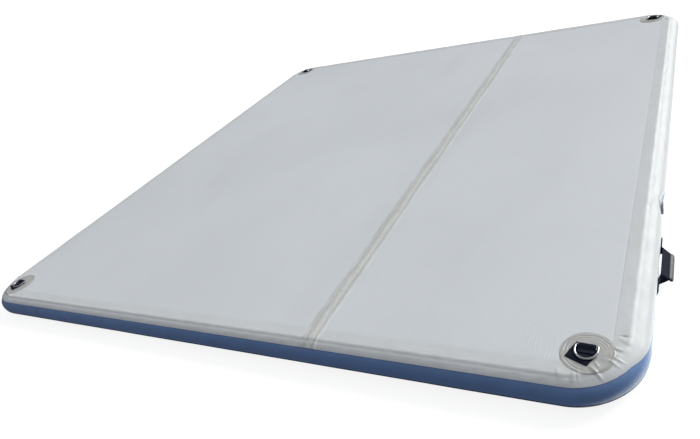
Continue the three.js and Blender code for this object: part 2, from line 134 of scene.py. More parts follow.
def add_piece(name, parts, material, sharp_degrees=40):
    """One mesh object from several closed parts, each a pair of points and faces."""
    points = []
    faces = []
    for part_points, part_faces in parts:
        offset = len(points)
        points.extend(tuple(p) for p in part_points)
        faces.extend(tuple(offset + k for k in face) for face in part_faces)
    mesh = bpy.data.meshes.new(name)
    mesh.from_pydata(points, [], faces)
    made = bmesh.new()
    made.from_mesh(mesh)
    bmesh.ops.recalc_face_normals(made, faces=made.faces)
    made.to_mesh(mesh)
    made.free()
    mesh.shade_smooth()
    mesh.set_sharp_from_angle(angle=math.radians(sharp_degrees))
    mesh.materials.append(material)
    piece = bpy.data.objects.new(name, mesh)
    bpy.context.scene.collection.objects.link(piece)
    return piece


def dress(piece, node, body):
    """Rides the piece on its body and hides the CAD node that it stands for."""
    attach(piece, body)
    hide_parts(node)
    return piece


def add_part(name, node, body, slot, *parts, sharp_degrees=40):
    """A piece in its finish, dressed for its node and body."""
    return dress(add_piece(name, parts, FINISHES[slot], sharp_degrees), node, body)


def grid(x, y, z):
    """Points from their coordinates, any of which can be one number."""
    return np.stack(np.broadcast_arrays(x, y, z), axis=-1)


def quads(rows, columns, wrap=False, wrap_rows=False):
    """The faces of a grid of points, numbered row by row, that can close on itself."""
    faces = []
    for i in range(rows if wrap_rows else rows - 1):
        a, b = i * columns, (i + 1) % rows * columns
        for j in range(columns if wrap else columns - 1):
            k = (j + 1) % columns
            faces.append((a + j, a + k, b + k, b + j))
    return faces


def shell(outer, inner, wrap=False):
    """A closed thin shell between two grids of points, each rows x columns x 3."""
    rows, columns = outer.shape[:2]
    count = rows * columns
    faces = quads(rows, columns, wrap)
    faces += [tuple(count + k for k in reversed(face)) for face in faces]
    number = np.arange(count).reshape(rows, columns)
    if wrap:
        loops = [number[0], number[-1, ::-1]]
    else:
        loops = [np.concatenate([number[0], number[1:, -1], number[-1, -2::-1], number[-2:0:-1, 0]])]
    for loop in loops:
        for a, b in zip(loop.tolist(), np.roll(loop, -1).tolist()):
            faces.append((b, a, count + a, count + b))
    return np.concatenate([outer.reshape(-1, 3), inner.reshape(-1, 3)]), faces


def rounded(share):
    """How much of its thickness webbing has across its width, from -1 to 1: less at its rounded edges."""
    return 0.35 + 0.65 * np.sqrt(1 - share**8)


def ribbon(centres, across, thickness, columns=11):
    """Webbing along a line of centres. across is half its width, as a vector at each centre."""
    centres, across = np.asarray(centres, float), np.asarray(across, float)
    tangent = np.gradient(centres, axis=0)
    normal = np.cross(tangent, across)
    normal /= np.linalg.norm(normal, axis=1, keepdims=True)
    share = np.linspace(-1, 1, columns)
    flat = centres[:, None] + across[:, None] * share[None, :, None]
    offset = normal[:, None] * (thickness / 2 * rounded(share))[None, :, None]
    return shell(flat + offset, flat - offset)


def tube(centres, normals, radius, closed, segments=18):
    """A round wire or sleeve along a line, with normals across it. Two radii make it oval."""
    centres, normals = np.asarray(centres, float), np.asarray(normals, float)
    if closed:
        tangent = np.roll(centres, -1, axis=0) - np.roll(centres, 1, axis=0)
    else:
        tangent = np.gradient(centres, axis=0)
    binormal = np.cross(tangent, normals)
    binormal /= np.linalg.norm(binormal, axis=1, keepdims=True)
    turn = np.linspace(0, 2 * math.pi, segments, endpoint=False)[None, :, None]
    wide, high = np.broadcast_to(np.asarray(radius, float), (len(centres), 2)).T[:, :, None, None]
    rings = centres[:, None] + wide * np.cos(turn) * normals[:, None]
    rings = rings + high * np.sin(turn) * binormal[:, None]
    count = len(centres)
    faces = quads(count, segments, wrap=True, wrap_rows=closed)
    if not closed:
        faces.append(tuple(range(segments)))
        faces.append(tuple(reversed(range((count - 1) * segments, count * segments))))
    return rings.reshape(-1, 3), faces


def softened(profile, size):
    """The profile with each corner off the axis cut back a little."""
    points = []
    count = len(profile)
    for i, (x, r) in enumerate(profile):
        here = np.array([x, r])
        if r == 0:
            points.append(here)
            continue
        for other in (profile[i - 1], profile[(i + 1) % count]):
            way = np.array(other) - here
            length = np.linalg.norm(way)
            points.append(here + way / length * min(size, length / 3))
    return points


def lathe(profile, size=0.0003, segments=72):
    """A solid of revolution about the valve's axis, from points (x, radius) in the valve's own mm."""
    profile = [(x * 0.001, r * 0.001) for x, r in profile]
    points = []
    rings = []
    for x, r in softened(profile, size):
        count = 1 if r == 0 else segments
        start = len(points)
        rings.append([start + j % count for j in range(segments)])
        for j in range(count):
            turn = 2 * math.pi * j / segments
            points.append((BAND_FACE + x, VALVE_Y + r * math.cos(turn), MID + r * math.sin(turn)))
    faces = []
    for i in range(len(rings)):
        low, high = rings[i], rings[(i + 1) % len(rings)]
        if low[1] == low[0] and high[1] == high[0]:
            continue
        for j in range(segments):
            k = (j + 1) % segments
            corners = [low[j], low[k], high[k], high[j]]
            faces.append(tuple(dict.fromkeys(corners)))
    return points, faces


def stepped(*steps):
    """A solid of revolution with a stepped outline, as x, radius, x, radius and so on."""
    profile = []
    for i in range(0, len(steps), 2):
        profile += [(steps[i], steps[i - 1]), (steps[i], steps[i + 1])]
    return lathe(profile)


def block(low, high, bevel=0.0005):
    """A box with rounded edges, between two corners in the valve's own mm."""
    low, high = (np.array(corner) * 0.001 + (BAND_FACE, VALVE_Y, MID) for corner in (low, high))
    made = bmesh.new()
    bmesh.ops.create_cube(made, size=1)
    for vertex in made.verts:
        vertex.co = Vector((low + high) / 2 + np.array(vertex.co) * (high - low))
    bmesh.ops.bevel(made, geom=made.edges, offset=bevel, segments=2, profile=0.5, affect="EDGES")
    made.verts.index_update()
    points = [tuple(vertex.co) for vertex in made.verts]
    faces = [tuple(vertex.index for vertex in face.verts) for face in made.faces]
    made.free()
    return points, faces


# ---- Materials ----

def add_node(tree, kind, inputs, **settings):
    """A node's outputs. Each input, by its name or number, is a value or another node's output."""
    node = tree.nodes.new(kind)
    for key, value in settings.items():
        setattr(node, key, value)
    for key, value in inputs.items():
        if isinstance(value, bpy.types.NodeSocket):
            tree.links.new(value, node.inputs[key])
        else:
            node.inputs[key].default_value = value
    return node.outputs


FINISHES = {}


class Finish:
    """A node material on the principled shader, with short ways to add patterns to it."""

    def __init__(self, name, colour, roughness, metallic=0.0, **sockets):
        self.material = bpy.data.materials.new(name)
        self.material.use_nodes = True
        self.tree = self.material.node_tree
        self.shader = self.tree.nodes["Principled BSDF"]
        self.shader.inputs["Base Color"].default_value = (*colour, 1)
        self.shader.inputs["Roughness"].default_value = roughness
        self.shader.inputs["Metallic"].default_value = metallic
        for socket, value in sockets.items():
            self.shader.inputs[socket.replace("_", " ")].default_value = value
        self.colour = colour
        self.normal = None
        FINISHES[name] = self.material

    def add(self, kind, inputs, **settings):
        return add_node(self.tree, kind, inputs, **settings)

    def place(self, stretch=(1, 1, 1)):
        """The place on the object, in metres, stretched along each axis."""
        where = self.add("ShaderNodeTexCoord", {})["Object"]
        return self.add("ShaderNodeMapping", {"Vector": where, "Scale": stretch})["Vector"]

    def axis(self, letter):
        return self.add("ShaderNodeSeparateXYZ", {"Vector": self.place()})[letter]

    def noise(self, scale, detail=3.0, stretch=(1, 1, 1)):
        inputs = {"Vector": self.place(stretch), "Scale": scale, "Detail": detail}
        return self.add("ShaderNodeTexNoise", inputs)["Fac"]

    def bands(self, spacing, axis="X", distortion=0.0):
        """Ridges across an axis, that far apart in metres."""
        inputs = {"Vector": self.place(), "Scale": 0.314 / spacing, "Distortion": distortion}
        return self.add("ShaderNodeTexWave", inputs, wave_type="BANDS", bands_direction=axis)["Fac"]

    def math(self, operation, a, b=0.0):
        return self.add("ShaderNodeMath", {0: a, 1: b}, operation=operation)["Value"]

    def between(self, value, low, high):
        """0 below low, 1 above high."""
        inputs = {"Value": value, "From Min": low, "From Max": high}
        return self.add("ShaderNodeMapRange", inputs, interpolation_type="SMOOTHSTEP")["Result"]

    def ramp(self, source, *stops):
        """Colours, or greys, at places along 0 to 1."""
        result = self.add("ShaderNodeValToRGB", {"Fac": source})["Color"]
        elements = result.node.color_ramp.elements
        while len(elements) < len(stops):
            elements.new(0.5)
        for element, (place, colour) in zip(elements, stops):
            element.position = place
            element.color = (*colour, 1) if hasattr(colour, "__len__") else (colour, colour, colour, 1)
        return result

    def times(self, a, b):
        return self.add("ShaderNodeMix", {0: 1, 6: a, 7: b}, data_type="RGBA", blend_type="MULTIPLY")[2]

    def link(self, source, socket):
        self.tree.links.new(source, self.shader.inputs[socket])
        return self

    def paint(self, colour):
        return self.link(colour, "Base Color")

    def mottle(self, scale, share, detail=3.0):
        """Varies the base colour by that share, lighter and darker."""
        dark = tuple(c * (1 - share) for c in self.colour)
        light = tuple(min(1, c * (1 + share)) for c in self.colour)
        return self.paint(self.ramp(self.noise(scale, detail), (0.3, dark), (0.7, light)))

    def rough(self, source, low, high):
        return self.link(self.ramp(source, (0.3, low), (0.7, high)), "Roughness")

    def bump(self, source, height, strength=1.0):
        """Raises the surface by the source, to that height in metres."""
        inputs = {"Height": source, "Distance": height, "Strength": strength}
        if self.normal is not None:
            inputs["Normal"] = self.normal
        self.normal = self.add("ShaderNodeBump", inputs)["Normal"]
        return self.link(self.normal, "Normal")


TOP_GREY = (0.602, 0.633, 0.662)
TAPE_GREY = (0.566, 0.594, 0.612)
BLUE = (0.148, 0.258, 0.500)
# The bottom tape's near-black navy is partly its own colour and partly painted shade, darkened to stand in
# for the shade beneath the mat's curved edge.
NAVY_WITH_PAINTED_SHADE = (0.006, 0.011, 0.035)


def fabric_grain(finish, strength=1.0):
    """The knit under a PVC coat: its fine mesh, and the rows where the drop-stitch yarns pull it in."""
    mesh = finish.math("MULTIPLY", finish.bands(0.0011, "X"), finish.bands(0.0011, "Y"))
    rows = finish.math("ADD", finish.bands(0.0090, "X", 1.5), finish.bands(0.0105, "Y", 1.5))
    finish.bump(mesh, 0.00003, strength)
    finish.bump(rows, 0.00003, strength)
    finish.bump(finish.noise(55, 4), 0.00025, strength)


def top_finish():
    finish = Finish("top_fabric", TOP_GREY, 0.5, Specular_IOR_Level=0.25)
    dark = tuple(c * 0.975 for c in TOP_GREY)
    light = tuple(c * 1.025 for c in TOP_GREY)
    broad = finish.ramp(finish.noise(1.0, 2), (0.35, dark), (0.65, light))
    cloudy = finish.ramp(finish.noise(7, 5), (0.3, 0.985), (0.7, 1.0))
    scuffed = finish.ramp(finish.noise(3.0, 7, stretch=(1, 0.3, 1)), (0.58, 1.0), (0.78, 0.955))
    finish.paint(finish.times(finish.times(broad, cloudy), scuffed))
    finish.rough(finish.noise(14, 5), 0.46, 0.56)
    # Pull lines, running front to back, where the face is drawn tight beside each corner.
    across = finish.math("ABSOLUTE", finish.axis("X"))
    along = finish.math("ABSOLUTE", finish.axis("Y"))
    beside = finish.math("MULTIPLY", finish.between(across, 1.10, 1.25), finish.between(along, 1.28, 1.38))
    uneven = finish.between(finish.noise(28, 3, stretch=(1, 0.3, 1)), 0.35, 0.65)
    patchy = finish.math("MULTIPLY", beside, uneven)
    pulls = finish.math("MULTIPLY", patchy, finish.bands(0.0105, "X", 3.0))
    finish.bump(pulls, 0.0008, 0.6)
    fabric_grain(finish)


def tape_finish():
    """Yellower and greyer by turns, with glue showing through, and glossier than the faces."""
    finish = Finish("edge_tape", TAPE_GREY, 0.42, Specular_IOR_Level=0.30)
    glue = tuple(c * s for c, s in zip(TAPE_GREY, (0.98, 0.975, 0.96)))
    clean = tuple(c * 1.02 for c in TAPE_GREY)
    finish.paint(finish.ramp(finish.noise(13, 5), (0.35, glue), (0.65, clean)))
    finish.rough(finish.noise(22, 4), 0.36, 0.48)
    finish.bump(finish.noise(38, 4), 0.0008, 0.5)
    finish.bump(finish.noise(120, 3), 0.0003, 0.5)
    fabric_grain(finish, 0.5)


def plain_fabric(name, colour, roughness):
    finish = Finish(name, colour, roughness).mottle(11, 0.07, 5)
    finish.rough(finish.noise(25, 4), roughness - 0.05, roughness + 0.07)
    finish.bump(finish.noise(16, 2), 0.0010, 0.4)
    fabric_grain(finish, 0.6)


def seam_finish():
    """Two darker stripes along the tape, wandering a little: glue lines under it, and painted shade for the
    grooves beside its raised edges.
    """
    finish = Finish("seam_fabric", (0.55, 0.57, 0.55), 0.45, Specular_IOR_Level=0.3)
    wander = finish.math("SUBTRACT", finish.noise(16, 4, stretch=(1, 0.45, 1)), 0.5)
    offset = finish.math("SUBTRACT", finish.axis("X"), SEAM_X)
    offset = finish.math("ADD", offset, finish.math("MULTIPLY", wander, 0.028))
    share = finish.math("MULTIPLY", offset, 1 / (SEAM_HIGH - SEAM_LOW))
    share = finish.math("ADD", share, 0.5)
    # The ramp's darker stops are glue lines under the tape together with painted shade for the grooves
    # beside its raised edges.
    across = finish.ramp(
        share,
        (0.06, (0.600, 0.625, 0.640)),
        (0.20, (0.490, 0.506, 0.506)),
        (0.36, (0.500, 0.514, 0.508)),
        (0.50, (0.585, 0.598, 0.575)),
        (0.60, (0.585, 0.600, 0.580)),
        (0.74, (0.490, 0.506, 0.500)),
        (0.92, (0.600, 0.625, 0.640)),
    )
    blotch = finish.ramp(finish.noise(20, 5, stretch=(1, 0.4, 1)), (0.35, 0.93), (0.65, 1.04))
    finish.paint(finish.times(across, blotch))
    finish.bump(finish.noise(45, 4, stretch=(1, 0.3, 1)), 0.0010, 0.7)
    fabric_grain(finish, 0.6)


def patch_finish():
    finish = Finish("ring_patch", (0.46, 0.465, 0.46), 0.28)
    dark, light = (0.375, 0.385, 0.38), (0.445, 0.45, 0.44)
    finish.paint(finish.ramp(finish.noise(26, 5), (0.35, dark), (0.65, light)))
    finish.bump(finish.noise(90, 3), 0.0004, 0.5)


def webbing_finish():
    dark = (0.005, 0.008, 0.017)
    finish = Finish("webbing", dark, 0.80, Specular_IOR_Level=0.12)
    diagonal = finish.math("ADD", finish.bands(0.0022, "X"), finish.bands(0.0022, "Y"))
    weave = finish.math("MULTIPLY", finish.math("ADD", diagonal, finish.bands(0.0022, "Z")), 0.4)
    finish.paint(finish.ramp(weave, (0.3, dark), (1.0, (0.016, 0.021, 0.038))))
    finish.bump(weave, 0.0005, 0.8)


def steel_finish():
    finish = Finish("steel", (0.46, 0.47, 0.49), 0.26, 1.0)
    finish.rough(finish.noise(300, 3, stretch=(1, 5, 5)), 0.20, 0.36)
    finish.bump(finish.noise(700, 2), 0.00003, 0.5)


def moulded(name, colour, roughness):
    finish = Finish(name, colour, roughness).mottle(60, 0.04)
    finish.rough(finish.noise(120, 3), roughness - 0.05, roughness + 0.08)
    finish.bump(finish.noise(900, 2), 0.00004, 0.5)


def yarn_finish():
    finish = Finish("yarn", (0.8, 0.8, 0.76), 0.85, Sheen_Weight=0.3)
    twist = finish.bands(0.004, "Z", 1.0)
    finish.paint(finish.ramp(twist, (0.2, (0.62, 0.62, 0.58)), (0.8, (0.84, 0.84, 0.8))))
    finish.bump(twist, 0.0005)


top_finish()
tape_finish()
seam_finish()
patch_finish()
plain_fabric("blue_fabric", BLUE, 0.42)
# Near-black: the bottom tape's navy, darkened further as painted shade for the shade under the edge.
plain_fabric("bottom_tape", NAVY_WITH_PAINTED_SHADE, 0.5)
plain_fabric("base_fabric", (0.25, 0.28, 0.32), 0.6)
webbing_finish()
steel_finish()
moulded("white_plastic", (0.80, 0.83, 0.86), 0.35)
moulded("grey_plastic", (0.50, 0.55, 0.60), 0.42)
moulded("black_rubber", (0.012, 0.012, 0.014), 0.6)
moulded("grip_rubber", (0.055, 0.058, 0.066), 0.5)
yarn_finish()


# ---- The inflated form ----

SIDE_RUN = 2 * ARC_CENTRE
CORNER_RUN = FLAT_RADIUS * math.pi / 2


def side_offsets(side):
    """Places along one side, from its middle. They stand closer together at the corners and the valve."""
    offsets = list(np.linspace(-ARC_CENTRE, ARC_CENTRE, 190, endpoint=False))
    near_end = np.arange(0.006, 0.15, 0.006)
    offsets += list(near_end - ARC_CENTRE) + list(ARC_CENTRE - near_end)
    if side == 1:
        offsets += list(VALVE_Y + np.arange(-DIMPLE_REACH, DIMPLE_REACH, 0.004))
    return sorted(set(np.round(offsets, 5)))


def stations():
    """Columns round the flat faces' outline: x, y, the outward normal's x and y, and the distance run."""
    places = []
    for side in range(4):
        heading = -math.pi / 2 + side * math.pi / 2
        normal = np.array([math.cos(heading), math.sin(heading)])
        along = np.array([-normal[1], normal[0]])
        start = side * (SIDE_RUN + CORNER_RUN)
        for offset in side_offsets(side):
            places.append((*(normal * FLAT_HALF + along * offset), *normal, start + offset + ARC_CENTRE))
        steps = 120
        for step in range(steps):
            turned = heading + step / steps * math.pi / 2
            out = np.array([math.cos(turned), math.sin(turned)])
            where = (normal + along) * ARC_CENTRE + out * FLAT_RADIUS
            places.append((*where, *out, start + SIDE_RUN + step / steps * CORNER_RUN))
    return np.array(places).T


STATION_X, STATION_Y, NORMAL_X, NORMAL_Y, STATION_RUN = (column[None, :] for column in stations())


def outline_place(x, y):
    """The run, and the distance beyond the flat faces' outline, of places on the plan."""
    x, y = np.broadcast_arrays(x, y)
    run = np.zeros(x.shape)
    distance = np.full(x.shape, -HALF_SIDE)
    for corner in range(4):
        turn = -corner * math.pi / 2
        along = x * math.cos(turn) - y * math.sin(turn)
        out = -(x * math.sin(turn) + y * math.cos(turn))
        past, beyond = along - ARC_CENTRE, out - ARC_CENTRE
        in_corner = (past > 0) & (beyond > 0)
        start = corner * (SIDE_RUN + CORNER_RUN)
        in_side = (np.abs(along) <= ARC_CENTRE) & (beyond - FLAT_RADIUS > distance)
        distance = np.where(in_side, beyond - FLAT_RADIUS, distance)
        run = np.where(in_side, start + along + ARC_CENTRE, run)
        angle = np.arctan2(past, np.maximum(beyond, 1e-9))
        distance = np.where(in_corner, np.hypot(past, beyond) - FLAT_RADIUS, distance)
        run = np.where(in_corner, start + SIDE_RUN + angle * FLAT_RADIUS, run)
    return run, distance


def corner_pleats(run, distance):
    """Short creases across the edge where the tape is gathered round a corner, -1 to 1."""
    place = np.mod(run, SIDE_RUN + CORNER_RUN)
    number = np.floor_divide(run, SIDE_RUN + CORNER_RUN)
    angle = (place - SIDE_RUN) / CORNER_RUN * 90
    draw = np.random.default_rng(6)
    total = np.zeros(np.broadcast(run, distance).shape)
    for corner in range(4):
        for pleat in range(CORNER_PLEATS):
            middle = (pleat + draw.uniform(0.1, 0.9)) / CORNER_PLEATS * 104 - 7
            width = draw.uniform(0.9, 2.4)
            size = draw.uniform(0.3, 1.0) * draw.choice([1, 1, -0.7])
            lean = draw.uniform(-110, 110)
            centre = draw.uniform(-0.024, 0.012)
            span = draw.uniform(0.008, 0.022)
            across = (angle - middle - lean * (distance - centre)) / width
            along = (distance - centre) / span
            total += np.where(number == corner, size * np.exp(-(across**2) - along**2), 0)
    return total


def edge_swell(x, y, run, distance):
    """How far the sidewall's layers all stand out from the even form."""
    place = (x, y, distance * 1.6)
    on_edge = smooth_step(distance, -TAPE_REACH, 0.012)
    fades = 1 - smooth_step(distance, 0.030, 0.075)
    slow = 0.0008 * waves(place, 0.24, 11)
    quick = 0.00036 * waves(place, 0.05, 12) * fades
    fine = 0.00010 * waves(place, 0.022, 13) * fades
    gathered = smooth_step(distance, -0.036, -0.012) * (1 - smooth_step(distance, 0.022, 0.036))
    pleats = 0.0024 * corner_pleats(run, distance) * gathered
    crease = -0.0034 * smooth_step(distance, -0.003, 0.012) * (1 - smooth_step(distance, 0.018, 0.065))
    return (slow + quick + fine) * on_edge + pleats + crease


def dimple_face(y, z):
    """How far out the dimple round the valve lets the sidewall reach."""
    radius = np.hypot(y - VALVE_Y, z - MID)
    slope = DIMPLE_DEPTH / (DIMPLE_RIM - DIMPLE_FLOOR)
    past_floor = radius - DIMPLE_FLOOR
    soft = 0.005
    rise = 0.5 * (past_floor + np.sqrt(past_floor**2 + soft**2)) * slope
    pucker = 0.0006 * np.sin(np.arctan2(z - MID, y - VALVE_Y) * 15)
    return HALF_SIDE - DIMPLE_DEPTH + rise + pucker * smooth_step(radius, DIMPLE_FLOOR, DIMPLE_FLOOR + 0.02)


def edge_points(distance, inset):
    """Rows of points down the edge, at distances from the faces' outline. Past its ends they run flat."""
    angle = np.clip(distance / MID, 0, math.pi)
    flat_run = np.minimum(distance, 0) - np.maximum(distance - math.pi * MID, 0)
    lift = edge_swell(STATION_X, STATION_Y, STATION_RUN, distance) * np.cos(angle / 2) - inset
    reach = MID * np.sin(angle) + flat_run + lift * np.sin(angle)
    x = STATION_X + NORMAL_X * reach
    y = STATION_Y + NORMAL_Y * reach
    z = MID + (MID + lift) * np.cos(angle)
    near_valve = (x > FLAT_HALF) & (np.abs(y - VALVE_Y) < DIMPLE_REACH)
    limit = dimple_face(y, z) - inset
    pressed = 0.5 * (limit + x - np.sqrt((limit - x) ** 2 + 0.0025**2))
    return grid(np.where(near_valve, pressed, x), y, z)


def edge_at(height):
    """The distance down the edge at which it has come down to a height."""
    return MID * math.acos((height - MID) / MID)


def tape_edge(height, right_height):
    """The height of a tape's own edge at each station: level, but dropping lower along the right side."""
    z = np.full(STATION_X[0].shape, height)
    for _ in range(8):
        y = STATION_Y[0] + NORMAL_Y[0] * np.sqrt(MID**2 - (z - MID) ** 2)
        share = np.clip((TAPE_DROP_START - np.abs(y)) / (TAPE_DROP_START - TAPE_DROP_END), 0, 1)
        z = height - (height - right_height) * share * (STATION_X[0] > ARC_CENTRE)
    return z


def cut_neck_hole(piece):
    """Cuts the round hole for the valve's neck through a layer of the sidewall."""
    reach = 20
    plug = add_piece("plug", [stepped(-reach, NECK_HOLE, reach, 0)], None)
    cut = piece.modifiers.new("neck_hole", "BOOLEAN")
    cut.operation = "DIFFERENCE"
    cut.solver = "EXACT"
    cut.object = plug
    evaluated = piece.evaluated_get(bpy.context.evaluated_depsgraph_get())
    mesh = bpy.data.meshes.new_from_object(evaluated)
    mesh.set_sharp_from_angle(angle=math.radians(40))
    piece.modifiers.clear()
    piece.data = mesh
    bpy.data.objects.remove(plug)


def edge_skin(name, node, slot, start, end, rows, inset, thickness, has_hole=False):
    distance = np.linspace(start + 0 * STATION_Y[0], end, rows)
    outer = edge_points(distance, inset)
    inner = edge_points(distance, inset + thickness)
    piece = add_piece(name, [shell(outer, inner, wrap=True)], FINISHES[slot])
    if has_hole:
        cut_neck_hole(piece)
    dress(piece, node, "mat")


def inflated_edge():
    whole = math.pi * MID
    # Both tapes are cut back round the valve.
    aside = np.where(STATION_X[0] > ARC_CENTRE, np.abs(STATION_Y[0] - VALVE_Y), HALF_SIDE)
    notch = np.sqrt(np.maximum(TAPE_NOTCH**2 - aside**2, 0))
    top_edge = np.maximum(tape_edge(TOP_TAPE_EDGE, RIGHT_TOP_TAPE_EDGE), MID + notch)
    bottom_edge = np.minimum(tape_edge(BOTTOM_TAPE_EDGE, RIGHT_BOTTOM_TAPE_EDGE), MID - notch)
    top_end = np.arccos((top_edge - MID) / MID) * MID
    bottom_start = np.arccos((bottom_edge - MID) / MID) * MID
    edge_skin("side_inner_ply", "sidewall_inner_ply", "base_fabric", 0, whole, 18, PLY_INSET, PLY,
              has_hole=True)
    edge_skin("side_band", "sidewall_band", "blue_fabric", BAND_GAP, whole - BAND_GAP, 31, BAND_INSET, BAND,
              has_hole=True)
    edge_skin("edge_tape_top", "top_edge_tape", "edge_tape", -TAPE_REACH, top_end, 31, -TAPE_PROUD, TAPE)
    bottom_end = whole + TAPE_REACH
    edge_skin("edge_tape_bottom", "bottom_edge_tape", "bottom_tape", bottom_start, bottom_end, 14, 0, TAPE)


# ---- Face panels and seams ----

def half_depth(x):
    """Half of the flat faces' depth, front to back, at a place across them."""
    past = np.maximum(np.abs(x) - ARC_CENTRE, 0)
    return ARC_CENTRE + np.sqrt(np.maximum(FLAT_RADIUS**2 - past**2, 0))


def panel(name, node, slot, low, high, is_top):
    step = 0.016
    x = np.linspace(low, high, round((high - low) / step))[:, None]
    share = np.linspace(-1, 1, round(2 * FLAT_HALF / step))[None, :]
    y = share * (half_depth(x) - 0.003)
    x = np.broadcast_to(x, y.shape)
    if is_top:
        distance = outline_place(x, y)[1]
        under_tape = smooth_step(distance, 0.006 - TAPE_REACH, 0.016 - TAPE_REACH)
        ripple = 0.00016 * waves((x, y), 0.35, 31) + 0.00012 * waves((x, y), 0.06, 32)
        ripple = ripple * smooth_step(np.abs(x - SEAM_X), 0.04, 0.09)
        face = THICK - PANEL_INSET + ripple - 0.0022 * under_tape
        back = face - PANEL
    else:
        face = 0.0002
        back = face + PANEL
    piece = add_part(name, node, "mat", slot, shell(grid(x, y, face), grid(x, y, back)))


def face_panels():
    beside = 0.00015
    edge = FLAT_HALF - 0.003
    for side, slot in (("top", "top_fabric"), ("bottom", "base_fabric")):
        is_top = side == "top"
        panel(f"{side}_skin_wide", f"{side}_panel_wide", slot, -edge, SEAM_X - beside, is_top)
        panel(f"{side}_skin_narrow", f"{side}_panel_narrow", slot, SEAM_X + beside, edge, is_top)


def seam_strip():
    """The tape over the seam. It runs on over each shoulder, down to the edge tape's lower edge."""
    shoulder = edge_at(TOP_TAPE_EDGE) - 0.001
    flat = np.arange(-FLAT_HALF, FLAT_HALF, 0.006)
    turn = np.linspace(0, shoulder, 14)
    along = np.concatenate([-FLAT_HALF - turn[:0:-1], flat, FLAT_HALF + turn])[:, None]
    share = np.linspace(-1, 1, 29)[None, :]
    half = (SEAM_HIGH - SEAM_LOW) / 2
    wander = 0.0018 * waves((along,), 0.11, 41) + 0.0009 * waves((along,), 0.028, 42)
    x = SEAM_X + share * (half + wander)
    along = np.broadcast_to(along, x.shape)
    past = np.maximum(np.abs(along) - FLAT_HALF, 0)
    side = np.sign(along)
    angle = past / MID
    run, distance = outline_place(x, np.minimum(np.abs(along), FLAT_HALF) * side)
    distance = np.where(past > 0, past, distance)
    on_edge_tape = smooth_step(distance, -0.004 - TAPE_REACH, 0.002 - TAPE_REACH)
    under = edge_swell(x, FLAT_HALF * side, run, np.maximum(distance, -TAPE_REACH)) * on_edge_tape
    ridge = 0.0003 * np.exp(-(((np.abs(share) - 0.72) / 0.10) ** 2))
    groove = -0.0003 * np.exp(-(((np.abs(share) - 0.45) / 0.12) ** 2))
    crinkle = 0.00035 * waves((x, along * 0.35), 0.012, 43) + 0.0003 * waves((x * 3, along), 0.05, 44)
    tuck = smooth_step(1 - np.abs(share), 0.0, 0.25)
    lift = under + 0.0008 * on_edge_tape - 0.0004 + (0.0006 + ridge + groove + crinkle) * tuck
    height = np.where(past > 0, MID + (MID + lift) * np.cos(angle), THICK + lift)
    y = side * (np.minimum(np.abs(along), FLAT_HALF) + (MID + lift) * np.sin(angle))
    outer = grid(x, y, height)
    inner = outer - TAPE * grid(0, side * np.sin(angle), np.cos(angle))
    piece = add_part("seam_tape_top", "top_seam_tape", "mat", "seam_fabric", shell(outer, inner))


def bottom_seam_strip():
    low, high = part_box("bottom_seam_tape")
    x, y = np.meshgrid(np.linspace(low.x, high.x, 8), np.linspace(low.y, high.y, 120))
    parts = [shell(grid(x, y, low.z), grid(x, y, high.z))]
    piece = add_part("seam_tape_bottom", "bottom_seam_tape", "mat", "base_fabric", *parts)


YARN_REACH = 1.36


def drop_yarns(name, node, low, high):
    """Bundles of the yarns that hold the faces apart at their distance, leaning either way by turns."""
    parts = []
    pitch, half, lean = 0.065, 0.0011, 0.014
    bottom, top = PANEL + 0.0004, THICK - PANEL - 0.0012
    for i, x in enumerate(np.arange(low, high, pitch)):
        for j, y in enumerate(np.arange(-YARN_REACH, YARN_REACH + 0.001, pitch)):
            tilt = lean if (i + j) % 2 else -lean
            points = []
            for shift, z in ((-tilt, bottom), (tilt, top)):
                corners = ((-half, -half), (half, -half), (half, half), (-half, half))
                points += [(x + shift + dx, y + dy, z) for dx, dy in corners]
            sides = [(k, (k + 1) % 4, (k + 1) % 4 + 4, k + 4) for k in range(4)]
            parts.append((points, sides + [(3, 2, 1, 0), (4, 5, 6, 7)]))
    add_part(name, node, "mat", "yarn", *parts)


# ---- D-rings ----

PATCH_RADIUS = 0.071
RING_BASE_TURN = math.radians(-23)
RING_TURN = math.radians(-4)
RING_REST = math.radians(2.6)
RING_AT = (-0.002, 0.017)  # middle of the ring's bar, from the patch's middle
RING_BASE_AT = (-0.014, -0.007)
BAR_HEIGHT = 0.1085
WEBBING = 0.0016


def turned(points, angle, shift=(0, 0, 0)):
    """Points turned about Z, then moved."""
    c, s = math.cos(angle), math.sin(angle)
    x, y, z = np.moveaxis(np.asarray(points, float), -1, 0)
    return grid(x * c - y * s + shift[0], x * s + y * c + shift[1], z + shift[2])


